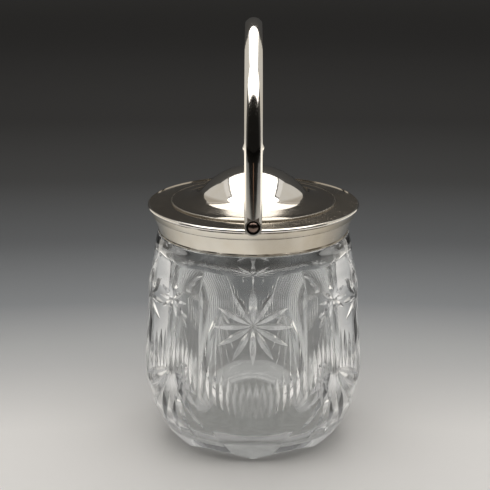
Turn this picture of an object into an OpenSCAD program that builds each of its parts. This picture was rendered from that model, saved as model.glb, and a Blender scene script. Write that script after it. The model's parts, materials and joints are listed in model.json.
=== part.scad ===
// Biscuit jar: a panelled cut-glass jar with a silver-plated mount, a lift-off
// domed lid and a riveted swing bail.
// Millimetres, +Z up, origin on the table under the middle of the jar.
// The front is -Y. The bail swings about the Y axis through its two rivets.

/* [Glass jar] */
// Height of the glass from its base to its lip
glass_h = 139; // [120:1:160]
// Distance from the axis to a wide panel at its fullest
belly_r = 62.8; // [58:0.1:63]
// Height of the fullest line
belly_z = 50; // [42:1:58]
// Distance from the axis to a wide panel at the waist
waist_r = 60; // [56:0.1:61]
// Height of the waist
waist_z = 100; // [92:1:106]
// Distance from the axis to a wide panel at the base
foot_r = 49.5; // [45:0.1:53]
// Distance from the axis to a corner panel, as a share of a wide panel's
corner_ratio = 1.055; // [1.02:0.005:1.07]
// Thickness of the glass at the middle of a wide panel
glass_wall = 6.2; // [4.5:0.1:7]
// Thickness of the floor
floor_t = 10; // [7:0.5:14]
// Radius between the floor and the wall inside
floor_fillet = 17; // [10:1:24]
// Outside radius of the neck
neck_r = 53.5; // [51:0.1:54.5]
// Thickness of the neck
neck_wall = 7; // [5:0.1:8]
// Height of the neck above the shoulder
neck_h = 13; // [10:0.5:16]
// Radius of the shoulder where it meets the mount
shoulder_r = 56; // [55:0.1:57]
// Height over which the panels' edges melt into the round shoulder
shoulder_melt = 20; // [14:1:26]
// Height at which the foot's eight flats run out
foot_flat_h = 15; // [10:0.5:18]

/* [Cutting] */
// Half the angle of the mitre wheel's edge
mitre = 52; // [45:1:58]
// Height of the middle of the large stars
star_z = 88; // [82:1:92]
// Length of a large star's rays
star_r = 22.5; // [18:0.5:26]
// Rays of a large star
star_rays = 12; // [8:1:16]
// Depth of a large star's rays
star_depth = 1.5; // [0.8:0.1:1.9]
// Height of the middle of the small stars
small_star_z = 98; // [94:1:102]
// Length of a small star's rays
small_star_r = 11.5; // [8:0.5:14]
// Rays of a small star
small_star_rays = 10; // [8:1:12]
// Depth of a small star's rays
small_star_depth = 0.95; // [0.6:0.05:1.3]
// Length of the upright cuts of the fringe
fringe_len = 23; // [18:0.5:26]
// Distance between neighbouring cuts of the fringe
fringe_pitch = 3.75; // [3.4:0.05:5]
// Depth of the cuts of the fringe
fringe_depth = 1.05; // [0.6:0.05:1.3]
// Height of the fringe's lower ends at the middle of a wide panel
fringe_low_z = 31.5; // [28:0.5:36]
// Rise of the fringe from there to the middle of a corner panel
fringe_rise = 25.5; // [18:0.5:28]
// Rays of a fan
fan_rays = 9; // [5:2:11]
// Angle between neighbouring rays of a fan
fan_step = 16.5; // [14:0.5:18]
// Length of a fan's middle ray
fan_len = 46; // [36:1:48]
// Depth of a fan's rays
fan_depth = 1.9; // [1:0.1:2.2]

/* [Silver mount] */
// Height of the flange's edge over the glass
mount_rise = 4; // [3:0.5:6]
// Reach of the flange over its rim wire past the band's foot
flange_over = 6.2; // [5.5:0.1:7.5]
// Thickness of the flange at its edge
flange_t = 1.3; // [1:0.1:1.8]
// Rise of the flat ring under the lid above the flange's edge
seat_rise = 0.8; // [0.4:0.1:1.5]
// Thickness of the spun metal
metal_t = 1.1; // [0.8:0.1:1.4]
// Flare of the band from its foot to its step
flare = 3.4; // [2.5:0.1:4]
// Depth of the band's step under the flange's edge
step_depth = 6; // [5:0.1:7]
// Thickness of the plaster between the metal and the neck
bed_t = 1.2; // [1:0.1:2]
// Depth of the mouth's inner wall
throat_depth = 11; // [8:0.5:12]
// Radius of the round bead at the band's foot
bead_r = 0.8; // [0.5:0.1:1]
// Radius of the round wire on the flange's edge
rim_wire_r = 1.1; // [0.9:0.1:1.4]

/* [Lid] */
// Reach of the lid over its edge wire past the mouth
lid_over = 4.3; // [3.5:0.1:5]
// Radius of the wire round the lid
lid_wire_r = 0.55; // [0.5:0.05:1]
// Thickness of the lid's metal
lid_t = 0.9; // [0.7:0.1:1.2]
// Height of the dome over the lid's seat
dome_h = 20.3; // [18:0.1:23]
// Radius of the ball that the dome is a cap of
dome_sphere_r = 39.5; // [37:0.5:42]
// Slope of the dome where its foot begins
dome_tilt = 49.5; // [47:0.5:51]
// Radius of the hollow at the dome's foot
foot_hollow_r = 12; // [10:0.5:13]
// Slope of the brim where it leaves the dome's foot
brim_tilt = 16.5; // [15:0.5:18]
// Depth of the locating rim under the lid
bezel_depth = 8.5; // [6:0.5:10]
// Clearance between the locating rim and the mouth
bezel_gap = 0.4; // [0.3:0.05:0.8]

/* [Finial] */
// Radius of the knob
knob_r = 6.5; // [5:0.1:8]
// Height of the knob's middle over the dome
knob_z = 10.3; // [9:0.1:12]
// Radius of the turned foot under the knob
knob_foot_r = 5.2; // [4.5:0.1:7]
// Radius of the knob's screw
stud_r = 2; // [1.5:0.1:2.5]
// Thickness of the nut inside the lid
nut_t = 2.8; // [2:0.1:4]

/* [Bail] */
// Height of the bail's pivot over the flange's edge
pivot_rise = 3; // [2.8:0.1:4]
// Length of the bail's straight legs
leg_h = 34.8; // [30:0.2:50]
// Width of the bail's strap
strap_w = 9.4; // [8:0.1:11]
// Thickness of the bail's strap
strap_t = 3.4; // [2.6:0.1:4]
// Radius of the eye at each end
eye_r = 4.6; // [4.3:0.1:5]
// Thickness of the eye
eye_t = 2.4; // [2:0.1:2.8]
// Depth of the round recess for the rivet's head
recess_t = 0.6; // [0.4:0.1:0.8]
// Radius of the rivet's shank
rivet_r = 1.5; // [1.2:0.1:1.8]
// Radius of the rivet's domed head
rivet_head_r = 2.7; // [2.4:0.1:3]
// Thickness of the lugs
lug_t = 3.5; // [3:0.1:4.5]
// Depth of the notches in the flange's edge that the lugs stand in
lug_notch = 1.5; // [1:0.1:2]
// Gap between a lug and the eye beside it
side_gap = 0.3; // [0.3:0.05:0.6]
// Radial clearance of the eyes on their rivets
pivot_gap = 0.05; // [0.02:0.01:0.1]

/* [Hidden] */

silver = [0.80, 0.78, 0.74];
silver_dark = [0.72, 0.70, 0.66];
clear_glass = [0.80, 0.86, 0.88, 0.45];
plaster = [0.92, 0.90, 0.86];

// Small clearance that keeps round faces of one assembly from overlapping
fit = 0.05;
// Overlap of solids that are joined or cut
lap = 1;
quarter = 90;

// The wide panels' edges lie where they meet the corner panels
corner_half = corner_ratio * sqrt(2) - 1;
panel_edge_r = sqrt(1 + corner_half * corner_half);
belly_half_w = belly_r * corner_half;
corner_half_w = belly_r * sqrt(panel_edge_r * panel_edge_r - corner_ratio * corner_ratio);

// The profile is drawn in strips, finer near the foot where it curves most
shoulder_z = glass_h - neck_h;
foot_zone = belly_z / 2;
strip_h = 12;
foot_strip_h = 3;
rounding_z = 48;
foot_share = 0.985 * cos(22.5);
throat_r = neck_r - neck_wall;
cavity_sides = 54;

mount_z = glass_h + mount_rise;
seat_z = mount_z + seat_rise;
band_r = neck_r + bed_t + metal_t;
flange_r = band_r + flange_over;
mouth_r = throat_r - bed_t - metal_t - 0.2;
lid_r = mouth_r + lid_over;
seat_r = lid_r + 0.7;
seat_under_z = seat_z - metal_t;
throat_out_r = mouth_r + metal_t;
band_in_r = band_r - metal_t;
flange_edge_r = flange_r - rim_wire_r;
band_low_z = shoulder_z + 0.25;
throat_low_z = seat_z - throat_depth;
flare_low_z = band_low_z + bead_r;
step_z = mount_z - step_depth;
step_in_r = band_in_r + flare;
bezel_r = mouth_r - bezel_gap;
lid_edge_r = lid_r - lid_wire_r;
dome_top_z = seat_z + dome_h;
dome_mid_z = dome_top_z - dome_sphere_r;
nut_r = stud_r + 2;
nut_gap = 0.25;
knob_foot_t = 1.6;
knob_mid_z = dome_top_z + knob_z;
stud_top_z = knob_mid_z - 1;
stud_low_z = dome_top_z - lid_t - nut_t - 1.5;

pivot_z = mount_z + pivot_rise;
lug_in_y = flange_r - lug_notch;
lug_out_y = lug_in_y + lug_t;
lug_r = eye_r - 0.4;
strap_in_y = lug_out_y + side_gap;
eye_out_y = strap_in_y + eye_t;
recess_y = eye_out_y - recess_t;
arch_z = pivot_z + leg_h;

// ---- Form of the glass -------------------------------------------------

// Distance from the axis to a wide panel at height z
function panel_r(z) =
    z > waist_z ? shoulder_r + (waist_r - shoulder_r) * cos(quarter * (z - waist_z) / (shoulder_z - waist_z))
    : z > belly_z ? waist_r + (belly_r - waist_r) * (1 + cos(180 * (z - belly_z) / (waist_z - belly_z))) / 2
    : foot_r + (belly_r - foot_r) * pow(max(0, 1 - pow((belly_z - z) / belly_z, 2)), 0.7);

// Radius of the blown blank at height z, which rounds the panels' edges off at the foot and the shoulder
function blank_r(z) =
    panel_r(z) * (1 + (panel_edge_r - 1) * min(1, (z + 3) / rounding_z, (shoulder_z + 0.6 - z) / shoulder_melt))
    + (z > rounding_z - 3 && z < shoulder_z - shoulder_melt + 0.6 ? lap / 2 : 0);

// Distance from the axis to the eight flats that make the foot an octagon
function foot_flat_r(z) = panel_r(z) * (foot_share + (panel_edge_r * 1.02 - foot_share) * z / foot_flat_h);

// Distance from the axis to the middle of a panel, which the blank's rounding limits near the foot
function face_r(ratio, z) = min(ratio * panel_r(z), blank_r(z));

levels = concat([for (z = [0 : foot_strip_h : foot_zone]) z],
                [for (z = [foot_zone + strip_h / 2 : strip_h : shoulder_z - shoulder_melt - strip_h / 2]) z],
                [for (z = [shoulder_z - shoulder_melt : shoulder_melt / 5 : shoulder_z - 1]) z],
                [shoulder_z]);

// A polygon through the given [half width, height] points and their mirror images
module mirrored_profile(side) {
    polygon(concat(side, [for (i = [len(side) - 1 : -1 : 0]) [-side[i][0], side[i][1]]]));
}

// A bar along Y whose two sides are ground to the profile of a pair of opposite panels
module panel_bar(ratio) {
    rotate([90, 0, 0])
        linear_extrude(4 * belly_r, center = true)
            mirrored_profile([for (z = levels) [ratio * panel_r(z), z]]);
}

module foot_bar() {
    rotate([90, 0, 0])
        linear_extrude(4 * belly_r, center = true)
            mirrored_profile(concat([for (z = [0 : foot_strip_h : foot_flat_h]) [foot_flat_r(z), z]],
                                    [[2 * belly_r, foot_flat_h + lap], [2 * belly_r, shoulder_z]]));
}

module panelled_body() {
    intersection() {
        rotate_extrude($fn = 96)
            polygon(concat([[0, 0]], [for (z = levels) [blank_r(z), z]], [[0, shoulder_z]]));
        intersection_for (i = [0 : 3])
            rotate([0, 0, 45 * i]) panel_bar(i % 2 == 0 ? 1 : corner_ratio);
        intersection_for (i = [0 : 3])
            rotate([0, 0, 45 * i + 22.5]) foot_bar();
    }
}

module cavity() {
    wall_low_z = floor_t + floor_fillet;
    wall_top_z = shoulder_z - neck_h;
    fillet_mid_r = panel_r(wall_low_z) - glass_wall - floor_fillet;
    wall_top_r = panel_r(wall_top_z) - glass_wall;
    fillet = [for (t = [0 : 15 : 90])
        [fillet_mid_r + floor_fillet * sin(t), floor_t + floor_fillet * (1 - cos(t))]];
    wall = [for (z = [wall_low_z + strip_h : strip_h : wall_top_z - 1]) [panel_r(z) - glass_wall, z]];
    flare = [for (t = [0 : 0.2 : 1])
        [throat_r + (wall_top_r - throat_r) * (1 + cos(180 * t)) / 2, wall_top_z + t * neck_h]];
    rotate_extrude($fn = cavity_sides)
        polygon(concat([[0, floor_t]], fillet, wall, flare, [[throat_r, glass_h + lap], [0, glass_h + lap]]));
}

// ---- Cutting -----------------------------------------------------------

// The wheel is a double cone. It is sunk over the line from p to q, which are [across, height]
// on a panel that faces +X, so its cut is a pointed leaf with a V floor.
module mitre_cut(p, q, depth, ratio, fn) {
    p_r = ratio * panel_r(p[1]);
    q_r = ratio * panel_r(q[1]);
    run = norm(q - p);
    length = norm([run, q_r - p_r]);
    wheel_r = (length * length / 4 + depth * depth) / (2 * depth);
    translate([(p_r + q_r) / 2, (p[0] + q[0]) / 2, (p[1] + q[1]) / 2])
        rotate([-atan2(q[0] - p[0], q[1] - p[1]), 0, 0])
            rotate([0, atan2(q_r - p_r, run), 0])
                translate([wheel_r - depth, 0, 0])
                    rotate([90, 0, 0])
                        hull() {
                            cylinder(h = wheel_r * tan(mitre), r1 = wheel_r, r2 = 0, $fn = fn);
                            mirror([0, 0, 1])
                                cylinder(h = wheel_r * tan(mitre), r1 = wheel_r, r2 = 0, $fn = fn);
                        }
}

// A leaf that follows the panel's curve from p to q, for cuts too long for one pass of the wheel
module leaf_cut(p, q, depth, ratio) {
    steps = 6;
    lift = 0.8;
    along = (q - p) / norm(q - p);
    side = [0, along[1], -along[0]];
    rows = [for (i = [0 : steps])
        let (t = i / steps,
             u = p + (q - p) * t,
             slope = face_r(ratio, u[1] + 0.5) - face_r(ratio, u[1] - 0.5),
             out = [1, 0, -slope] / norm([1, 0, -slope]),
             deep = depth * pow(sin(180 * t), 0.8),
             half = (deep + lift) * tan(mitre),
             at = [face_r(ratio, u[1]), u[0], u[1]])
        [at + out * lift + side * half, at + out * lift - side * half, at - out * deep]];
    points = [for (row = rows) for (corner = row) corner];
    walls = [for (i = [0 : steps - 1]) for (k = [0 : 2])
        let (a = 3 * i + k, b = 3 * i + (k + 1) % 3)
        each [[a, b, b + 3], [a, b + 3, a + 3]]];
    polyhedron(points, concat([[2, 1, 0]], walls, [[3 * steps, 3 * steps + 1, 3 * steps + 2]]));
}

module star(z, radius, rays, depth, ratio, turn, fn) {
    hub = radius / rays / 2;
    for (i = [0 : rays - 1]) {
        angle = turn + i * 360 / rays;
        way = [sin(angle), cos(angle)];
        mitre_cut([0, z] + hub * way, [0, z] + radius * way, depth, ratio, fn);
    }
}

// Height of the fringe's lower ends at a distance s round the jar from the middle of a wide panel
function swag_z(s) = fringe_low_z + fringe_rise * (1 - cos(180 * s / (belly_half_w + corner_half_w))) / 2;

module fringe(half_w, ratio, start) {
    count = floor(half_w / fringe_pitch + 0.1);
    for (i = [-count : count - 1]) {
        across = (i + 0.5) * fringe_pitch;
        low = swag_z(start + (start == 0 ? 1 : -1) * abs(across));
        mitre_cut([across, low], [across, low + fringe_len], fringe_depth, ratio, 36);
    }
}

module fan(ratio) {
    origin = [0, fringe_low_z + fringe_rise];
    reach = corner_half_w - 1;
    for (i = [-(fan_rays - 1) / 2 : (fan_rays - 1) / 2]) {
        angle = i * fan_step;
        way = [sin(angle), -cos(angle)];
        ray = min(fan_len * (1 - 0.03 * abs(i)), reach / max(0.1, abs(way[0])));
        // Every other ray starts further out, which leaves glass between the points
        start = 2.1 + 0.9 * (abs(i) % 2) + 0.13 * abs(i);
        leaf_cut(origin + start * way, origin + ray * way, fan_depth, ratio);
    }
}

module glass_body() {
    color(clear_glass)
        difference() {
            union() {
                panelled_body();
                translate([0, 0, shoulder_z - lap])
                    cylinder(h = glass_h - shoulder_z + lap, r = neck_r, $fn = 96);
            }
            cavity();
            for (side = [0 : 3]) {
                rotate([0, 0, 90 * side]) {
                    star(star_z, star_r, star_rays, star_depth, 1, 0, 45);
                    fringe(belly_half_w, 1, 0);
                }
                rotate([0, 0, 90 * side + 45]) {
                    star(small_star_z, small_star_r, small_star_rays, small_star_depth, corner_ratio, 18, 30);
                    fringe(corner_half_w, corner_ratio, belly_half_w + corner_half_w);
                    fan(corner_ratio);
                }
            }
        }
}

// ---- Silver mount ------------------------------------------------------

// The band's flare at a radius, from the bead at its foot up to the step
function flare_line(r) = [for (t = [0 : 0.125 : 1])
    [r + flare * pow(t, 1.35), flare_low_z + (step_z - flare_low_z) * t]];

module plaster_bed() {
    low_z = band_low_z + 0.5;
    // The glass is faceted inside, so the plaster stays clear of the middle of each facet
    bore_r = throat_r * cos(180 / cavity_sides) - fit;
    outer_r = band_in_r - fit;
    inside = [[throat_out_r, low_z], [outer_r, low_z]];
    color(plaster)
        rotate_extrude($fn = 120)
            difference() {
                polygon(concat(inside, flare_line(outer_r),
                               [[step_in_r - fit, mount_z - metal_t], [throat_out_r, seat_under_z]]));
                translate([bore_r, 0]) square([neck_r + fit - bore_r, glass_h]);
                square([neck_r, throat_low_z + 0.5]);
            }
}

// A spun ring: the flared band outside the neck with its bead and step, the cove and flange over
// it, and the mouth's inner wall
module mount_collar() {
    step_w = 0.5;
    cove_low_r = band_r + flare + step_w;
    cove_h = mount_z - flange_t - step_z - step_w;
    cove = [for (t = [0 : 15 : 90])
        [cove_low_r + (flange_edge_r - cove_low_r) * (1 - cos(t)), step_z + step_w + cove_h * sin(t)]];
    channel = [[mouth_r, throat_low_z], [throat_out_r, throat_low_z], [throat_out_r, seat_under_z],
               [step_in_r, mount_z - metal_t]];
    inside = flare_line(band_in_r);
    foot = [[band_in_r, band_low_z], [band_r, band_low_z]];
    top = [[flange_edge_r, mount_z], [seat_r, seat_z], [mouth_r, seat_z]];
    color(silver)
        difference() {
            rotate_extrude($fn = 120) {
                polygon(concat(channel, [for (i = [len(inside) - 1 : -1 : 0]) inside[i]], foot,
                               flare_line(band_r), cove, top));
                translate([band_r - bead_r / 2, band_low_z + bead_r]) circle(r = bead_r, $fn = 24);
            }
            lug_notches();
        }
}

// Flats across the edge of the flange where the lugs are soldered
module lug_notches() {
    for (side = [0, 180])
        rotate([0, 0, side])
            translate([-lug_r, lug_in_y, mount_z - 4 * flange_t])
                cube([2 * lug_r, lug_notch + lap, 8 * flange_t]);
}

module rim_wire() {
    color(silver)
        difference() {
            rotate_extrude($fn = 120)
                intersection() {
                    translate([flange_edge_r, mount_z - flange_t / 2]) circle(r = rim_wire_r, $fn = 32);
                    translate([flange_edge_r, 0]) square([2 * rim_wire_r, 2 * mount_z]);
                }
            lug_notches();
        }
}

// Front lug: a plate with a round head that stands in the notch of the flange
module lug() {
    low_z = mount_z - flange_t;
    color(silver_dark)
        translate([0, -lug_in_y, 0])
            rotate([90, 0, 0])
                linear_extrude(lug_t)
                    difference() {
                        union() {
                            translate([0, pivot_z]) circle(r = lug_r, $fn = 48);
                            translate([-lug_r, low_z]) square([2 * lug_r, pivot_z - low_z]);
                        }
                        translate([0, pivot_z]) circle(r = rivet_r, $fn = 48);
                    }
}

module lug_front() { lug(); }
module lug_back() { mirror([0, 1, 0]) lug(); }

// Front rivet: a shank through lug and eye, a domed head in the eye's recess and a flat one inside
module rivet() {
    inner_head_t = 0.8;
    head_y = recess_y + side_gap;
    head_h = 1.1;
    head_sphere_r = (rivet_head_r * rivet_head_r + head_h * head_h) / (2 * head_h);
    color(silver_dark)
        translate([0, 0, pivot_z])
            rotate([90, 0, 0]) {
                translate([0, 0, lug_in_y - inner_head_t])
                    cylinder(h = inner_head_t, r = rivet_r + 0.7, $fn = 48);
                translate([0, 0, lug_in_y - fit])
                    cylinder(h = head_y - lug_in_y + 2 * fit, r = rivet_r, $fn = 48);
                translate([0, 0, head_y])
                    intersection() {
                        translate([0, 0, head_h - head_sphere_r]) sphere(r = head_sphere_r, $fn = 64);
                        cylinder(h = head_h, r = rivet_head_r, $fn = 48);
                    }
            }
}

module rivet_front() { rivet(); }
module rivet_back() { mirror([0, 1, 0]) rivet(); }

// ---- Lid ---------------------------------------------------------------

// The lid's section, a sheet that lies flat on its seat, sweeps up over the brim and turns through
// a hollow into the dome
module lid_section() {
    brim_low = [bezel_r - metal_t + 0.3, seat_z + lid_t];
    hollow_mid = [(dome_sphere_r + foot_hollow_r) * sin(dome_tilt),
                  dome_mid_z + (dome_sphere_r + foot_hollow_r) * cos(dome_tilt)];
    brim_top = hollow_mid - foot_hollow_r * [sin(brim_tilt), cos(brim_tilt)];
    rise = brim_top - brim_low;
    turn = dome_tilt - brim_tilt;
    brim = [for (t = [0 : 0.125 : 0.875]) brim_low + [rise[0] * t, rise[1] * pow(t, 1.05)]];
    hollow = [for (t = [0 : 0.2 : 1])
        let (a = brim_tilt + turn * t) hollow_mid - foot_hollow_r * [sin(a), cos(a)]];
    cap = [for (t = [0.9 : -0.1 : 0.1]) sphere_point(dome_sphere_r, dome_tilt * t)];
    under_cap = [for (t = [0.1 : 0.1 : 1]) sphere_point(dome_sphere_r - lid_t, dome_tilt * t)];
    under_hollow = [for (t = [0.8 : -0.2 : 0])
        let (a = brim_tilt + turn * t) hollow_mid - (foot_hollow_r + lid_t) * [sin(a), cos(a)]];
    under_brim = [for (i = [len(brim) - 1 : -1 : 2]) brim[i] - [lid_t / 3, lid_t]];
    polygon(concat([[lid_edge_r, seat_z], [lid_edge_r, brim_low[1]]], brim, hollow, cap, [[0, dome_top_z]],
                   [[0, dome_top_z - lid_t]], under_cap, under_hollow, under_brim,
                   [[brim_low[0] - 0.8, seat_z]]));
}

function sphere_point(r, tilt) = [r * sin(tilt), dome_mid_z + r * cos(tilt)];

module lid_shell() {
    color(silver)
        difference() {
            rotate_extrude($fn = 96) lid_section();
            translate([0, 0, seat_z]) cylinder(h = dome_h + lap, r = stud_r + fit, $fn = 48);
        }
}

module lid_wire() {
    color(silver)
        rotate_extrude($fn = 96)
            intersection() {
                translate([lid_edge_r, seat_z + lid_wire_r - 0.1]) circle(r = lid_wire_r, $fn = 32);
                translate([lid_edge_r, seat_z]) square(2 * lid_wire_r);
            }
}

module lid_bezel() {
    color(silver_dark)
        translate([0, 0, seat_z - bezel_depth])
            difference() {
                cylinder(h = bezel_depth, r = bezel_r, $fn = 96);
                translate([0, 0, -lap])
                    cylinder(h = bezel_depth + 2 * lap, r = bezel_r - metal_t, $fn = 96);
            }
}

// ---- Finial ------------------------------------------------------------

module finial_foot() {
    low_z = dome_top_z - knob_foot_t / 2;
    flat_r = knob_foot_r - knob_foot_t / 2;
    color(silver)
        rotate_extrude($fn = 64)
            difference() {
                union() {
                    translate([0, low_z]) square([knob_foot_r, knob_foot_t]);
                    translate([0, low_z]) square([flat_r, 3 * knob_foot_t / 2]);
                    translate([flat_r, low_z + knob_foot_t]) circle(r = knob_foot_t / 2, $fn = 32);
                }
                translate([0, dome_top_z - dome_sphere_r]) circle(r = dome_sphere_r, $fn = 180);
                square([stud_r + fit, 2 * dome_top_z]);
            }
}

module finial_knob() {
    neck_low_z = dome_top_z + knob_foot_t;
    color(silver)
        rotate_extrude($fn = 64)
            difference() {
                intersection() {
                    union() {
                        square([knob_foot_r - 2, knob_mid_z]);
                        translate([0, knob_mid_z]) circle(r = knob_r, $fn = 64);
                    }
                    translate([0, neck_low_z]) square(3 * knob_r);
                }
                square([stud_r, stud_top_z]);
            }
}

module finial_stud() {
    color(silver_dark)
        translate([0, 0, stud_low_z]) cylinder(h = stud_top_z - stud_low_z, r = stud_r, $fn = 48);
}

module finial_nut() {
    color(silver_dark)
        translate([0, 0, dome_top_z - lid_t - nut_t - nut_gap])
            difference() {
                cylinder(h = nut_t, r = nut_r, $fn = 6);
                translate([0, 0, -lap]) cylinder(h = nut_t + 2 * lap, r = stud_r, $fn = 48);
            }
}

// ---- Bail --------------------------------------------------------------

// The strap's section: flat inside and domed outside, with its inner face on the Y axis
module strap_section() {
    dome = (strap_w * strap_w / 4 + strap_t * strap_t) / (2 * strap_t) + 0.5;
    intersection() {
        translate([strap_t - dome, 0]) circle(r = dome, $fn = 96);
        translate([0, -strap_w / 2]) square([strap_t, strap_w]);
    }
}

module bail_handle() {
    color(silver)
        difference() {
            union() {
                translate([0, 0, arch_z])
                    rotate([90, 0, 90])
                        rotate_extrude(angle = 180, $fn = 120)
                            translate([strap_in_y, 0]) strap_section();
                for (side = [-90, 90])
                    translate([0, 0, pivot_z]) rotate([0, 0, side]) bail_leg();
            }
            translate([0, 0, pivot_z])
                rotate([90, 0, 0])
                    cylinder(h = 3 * flange_r, r = rivet_r + pivot_gap, center = true, $fn = 48);
        }
}

// A leg that rises on the +X side from the level of the pivot. Its domed face ends in a round
// tip over the eye, whose recess takes the rivet's head.
module bail_leg() {
    difference() {
        union() {
            across(strap_in_y, 0) cylinder(h = eye_t, r = eye_r, $fn = 64);
            difference() {
                linear_extrude(leg_h) translate([strap_in_y, 0]) strap_section();
                difference() {
                    translate([eye_out_y, -strap_w, -lap])
                        cube([strap_t, 2 * strap_w, eye_r + strap_w / 2 + lap]);
                    across(eye_out_y - lap, eye_r + strap_w / 2)
                        cylinder(h = strap_t + 2 * lap, r = strap_w / 2, $fn = 64);
                }
            }
        }
        across(recess_y, 0) cylinder(h = strap_t, r = rivet_head_r + 1, $fn = 64);
    }
}

// Lays a round piece on the X axis, at a height over the pivot
module across(x, z) {
    translate([x, 0, z]) rotate([0, 90, 0]) children();
}

glass_body();
plaster_bed();
mount_collar();
rim_wire();
lug_front();
lug_back();
rivet_front();
rivet_back();
lid_shell();
lid_wire();
lid_bezel();
finial_foot();
finial_knob();
finial_stud();
finial_nut();
bail_handle();
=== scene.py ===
import json
import math
import bmesh
import bpy
import numpy as np
from mathutils import Euler, Matrix, Vector

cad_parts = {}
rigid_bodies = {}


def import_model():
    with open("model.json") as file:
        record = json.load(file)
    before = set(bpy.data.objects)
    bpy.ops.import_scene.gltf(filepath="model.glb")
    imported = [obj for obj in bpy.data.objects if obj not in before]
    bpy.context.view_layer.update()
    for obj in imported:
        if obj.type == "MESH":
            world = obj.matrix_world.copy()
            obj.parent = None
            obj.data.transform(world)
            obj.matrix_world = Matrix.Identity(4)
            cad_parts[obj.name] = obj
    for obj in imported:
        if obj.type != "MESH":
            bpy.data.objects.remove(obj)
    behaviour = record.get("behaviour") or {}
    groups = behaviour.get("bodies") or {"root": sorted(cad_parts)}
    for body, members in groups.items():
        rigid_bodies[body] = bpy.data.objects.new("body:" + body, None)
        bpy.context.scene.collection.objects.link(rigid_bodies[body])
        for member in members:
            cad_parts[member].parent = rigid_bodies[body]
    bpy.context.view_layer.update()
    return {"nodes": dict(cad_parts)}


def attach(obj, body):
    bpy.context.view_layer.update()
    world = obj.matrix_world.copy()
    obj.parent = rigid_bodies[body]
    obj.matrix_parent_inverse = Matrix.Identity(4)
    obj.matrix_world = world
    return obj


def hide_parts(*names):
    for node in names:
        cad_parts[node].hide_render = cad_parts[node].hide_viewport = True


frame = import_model()
print("frame loaded:", len(frame["nodes"]), "nodes")

mm = 0.001


# ---- camera, before anything else is made
view = {
    "place": (0.0, -550.9, 288.6),
    "pitch": 17.418,      # degrees down
    "yaw": -0.508,        # degrees to the right
    "focal": 965.9,       # in pixels of the picture
    "width": 490,         # the picture's pixels
    "sensor": 36,
    "clip": (0.01, 20),   # metres
}

def setCamera():
    camera = bpy.data.objects.new("camera", bpy.data.cameras.new("camera"))
    bpy.context.scene.collection.objects.link(camera)
    camera.location = Vector(view["place"]) * mm
    camera.rotation_euler = Euler((math.radians(90 - view["pitch"]), 0, math.radians(-view["yaw"])))
    camera.data.sensor_width = view["sensor"]
    camera.data.lens = view["focal"] * view["sensor"] / view["width"]
    camera.data.clip_start, camera.data.clip_end = view["clip"]
    bpy.context.scene.camera = camera

setCamera()


# ---- shader maths: a socket that adds its nodes as it is used
class Signal:
    def __init__(self, tree, socket=None):
        self.tree = tree
        self.socket = socket

    def node(self, kind, settings=None, values=None, out=0):
        made = self.tree.nodes.new(kind)
        for key, value in (settings or {}).items():
            if key == "stops":
                ramp = made.color_ramp
                while len(ramp.elements) < len(value):
                    ramp.elements.new(1)
                for element, (place, colour) in zip(ramp.elements, value):
                    element.position = place
                    element.color = (*colour, 1)
            else:
                setattr(made, key, value)
        for key, value in (values or {}).items():
            if isinstance(value, Signal):
                self.tree.links.new(value.socket, made.inputs[key])
            else:
                made.inputs[key].default_value = value
        return Signal(self.tree, made.outputs[out]) if made.outputs else None

    def math(self, operation, *values):
        return self.node("ShaderNodeMath", {"operation": operation}, dict(enumerate(values)))

    def __add__(self, other): return self.math("ADD", self, other)
    def __radd__(self, other): return self.math("ADD", other, self)
    def __sub__(self, other): return self.math("SUBTRACT", self, other)
    def __rsub__(self, other): return self.math("SUBTRACT", other, self)
    def __mul__(self, other): return self.math("MULTIPLY", self, other)
    def __rmul__(self, other): return self.math("MULTIPLY", other, self)
    def __truediv__(self, other): return self.math("DIVIDE", self, other)
    def __pow__(self, other): return self.math("POWER", self, other)

    def ramp(self, low, high):
        return self.node("ShaderNodeMapRange", {"clamp": True, "interpolation_type": "SMOOTHSTEP"},
                         {"Value": self, "From Min": low, "From Max": high})

    def mix(self, first, second):
        return self.node("ShaderNodeMix", {"data_type": "RGBA"}, {0: self, 6: first, 7: second}, 2)


def newMaterial(name):
    # a material without nodes, its first signal, and the place on the piece
    made = bpy.data.materials.new(name)
    made.use_nodes = True
    made.node_tree.nodes.clear()
    start = Signal(made.node_tree)
    return made, start, start.node("ShaderNodeTexCoord", {}, {}, "Object")


def axis(start, vector, which):
    return start.node("ShaderNodeSeparateXYZ", {}, {0: vector}, which)


def isRay(start, kind):
    return start.node("ShaderNodeLightPath", {}, {}, "Is " + kind + " Ray")


def closeWith(start, shader):
    start.node("ShaderNodeOutputMaterial", {}, {"Surface": shader})


def principled(start, values):
    closeWith(start, start.node("ShaderNodeBsdfPrincipled", {}, values))


def noise(start, coords, scale, detail=3, stretch=(1, 1, 1), turn=(0, 0, 0)):
    placed = start.node("ShaderNodeMapping", {}, {"Vector": coords, "Scale": stretch, "Rotation": turn})
    return start.node("ShaderNodeTexNoise", {}, {"Vector": placed, "Scale": scale, "Detail": detail})


# ---- silver
plating = {
    # how often the plate's marks come, as noise scales
    "patches": 28, "haze": 140, "hairs": 900, "ragged": 90, "clouds": 26, "dents": 35,
    "dentDeep": 0.0004, "hairDeep": 0.00003, "bumpStrength": 0.05,
    # the first tint below is near-black painted shade, with some tarnish, for the creases and round the pivot
    "shadeAndTarnishTint": (0.012, 0.010, 0.008, 1), "cloudTint": (0.30, 0.24, 0.16, 1),
    # painted dark reflection on the flat brims
    "brimTint": (0.47, 0.41, 0.33, 1),
}
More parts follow.
